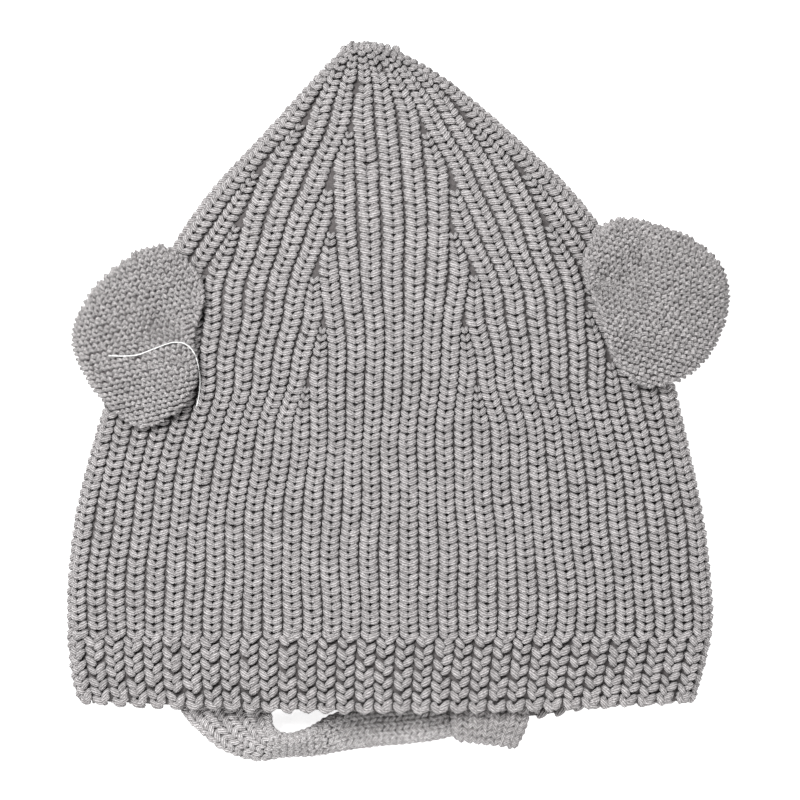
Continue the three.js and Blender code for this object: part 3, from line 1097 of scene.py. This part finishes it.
def light_scene():
    world = bpy.data.worlds.new("studio")
    bpy.context.scene.world = world
    world.use_nodes = True
    world.node_tree.nodes["Background"].inputs["Color"].default_value = (1, 1, 1, 1)
    world.node_tree.nodes["Background"].inputs["Strength"].default_value = 0.24
    key = bpy.data.lights.new("key", "AREA")
    key.shape = "DISK"
    key.size = 0.5
    key.energy = 19
    lamp = bpy.data.objects.new("key", key)
    lamp.location = (-0.38, 0.42, 1.1)
    lamp.rotation_euler = (-lamp.location).to_track_quat("-Z", "Y").to_euler()
    bpy.context.scene.collection.objects.link(lamp)
    fill = bpy.data.lights.new("fill", "AREA")
    fill.shape = "DISK"
    fill.size = 0.6
    fill.energy = 6
    lamp = bpy.data.objects.new("fill", fill)
    lamp.location = (0.35, -0.75, 0.8)
    lamp.rotation_euler = (-lamp.location).to_track_quat("-Z", "Y").to_euler()
    bpy.context.scene.collection.objects.link(lamp)


def place_camera():
    """Straight above the middle of the hat, with its front upright in the picture."""
    view_width = 248.8 * MM
    distance = 1.5
    camera = bpy.data.cameras.new("camera")
    camera.sensor_width = 36
    hat_height = 12 * MM
    camera.lens = camera.sensor_width * (distance - hat_height) / view_width
    stand = bpy.data.objects.new("camera", camera)
    stand.location = (0.2 * MM, 0, distance)
    bpy.context.scene.collection.objects.link(stand)
    bpy.context.scene.camera = stand
    bpy.context.scene.view_settings.view_transform = "Standard"


place_camera()
light_scene()
lay_floor()

# Flat sizes of the knitted pieces before the hat is laid down, in metres and square metres.
STRAP_FLAT = (0.026, 0.152)
STRAP_AREA = 0.0023
TAB_FLAT = (0.024, 0.023)
TAB_AREA = 0.0005

GREY = (0.72, 0.69, 0.69)
FLECK = (0.36, 0.335, 0.335)
rib_yarn = yarn_material("rib_yarn", GREY, FLECK)
# Painted light: a lighter copy of the hat's grey yarn, so the ears' bumps show brighter highlights.
ear_yarn_painted_light = yarn_material("ear_yarn_painted_light", (0.95, 0.91, 0.91), (0.38, 0.355, 0.355))
plain_yarn = yarn_material(
    "plain_yarn", (0.42, 0.4, 0.4), (0.3, 0.28, 0.28), looped=False)
# Painted light: a lighter copy of the hat's grey yarn, making up for the hat's shadow that falls over
# the strap.
strap_yarn_painted_light = yarn_material("strap_yarn_painted_light", (0.94, 0.91, 0.91), (0.46, 0.43, 0.43))
# Painted shade: the fabric's ground is the hat's own grey yarn, made near-black here to stand for the
# shade in the gaps between the loops.
painted_gap_shade = yarn_material("painted_gap_shade", (0.13, 0.12, 0.12), (0.09, 0.08, 0.08), looped=False)

thread_yarn = yarn_material("thread_yarn", (0.97, 0.97, 0.96), (0.9, 0.9, 0.89), looped=False)

skin = HatSkin()
crown_loops = crown_pieces(skin)
crown_loops.append(tip_gather(skin))
for piece in crown_loops:
    dress(piece, rib_yarn, "rib_knit", "crown")
ground = crown_ground(skin)
# The ground behind the crown's loops is coloured with painted shade.
dress(ground, painted_gap_shade, "rib_knit", "crown")
colour_inside(ground, plain_yarn)
hem_loops = hem_pieces(skin)
for piece in hem_loops:
    dress(piece, rib_yarn, "band_knit", "hem_band")
ground = hem_ground(skin)
# The ground between the band's two faces of loops is coloured with painted shade.
dress(ground, painted_gap_shade, "band_knit", "hem_band")
ear_loops = []
for node in EAR_STACKING:
    loops, ground = ear_pieces(node)
    ear_loops.append(loops)
    # The ear's bumps take the lighter copy of the yarn, which paints light on them.
    dress(loops, ear_yarn_painted_light, "ear_knit", node)
    # The pad under the ear's bumps is coloured with painted shade.
    dress(ground, painted_gap_shade, "ear_knit", node)
# The strap's loops take the lighter copy of the yarn, which paints light on them; the tab's loops take
# the hat's own grey.
for node, sections, columns, yarn, flat, area in (
    ("chin_strap", STRAP_SECTIONS, 5, strap_yarn_painted_light, STRAP_FLAT, STRAP_AREA),
    ("strap_tab", TAB_SECTIONS, 8, rib_yarn, TAB_FLAT, TAB_AREA),
):
    loops, ground = band_pieces(node, sections, columns / 2)
    dress(loops, yarn, "strap_knit", node)
    dress(ground, plain_yarn, "strap_knit", node)
thread = loose_thread(crown_loops + ear_loops)
thread.data.materials.append(thread_yarn)
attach(thread, "root")
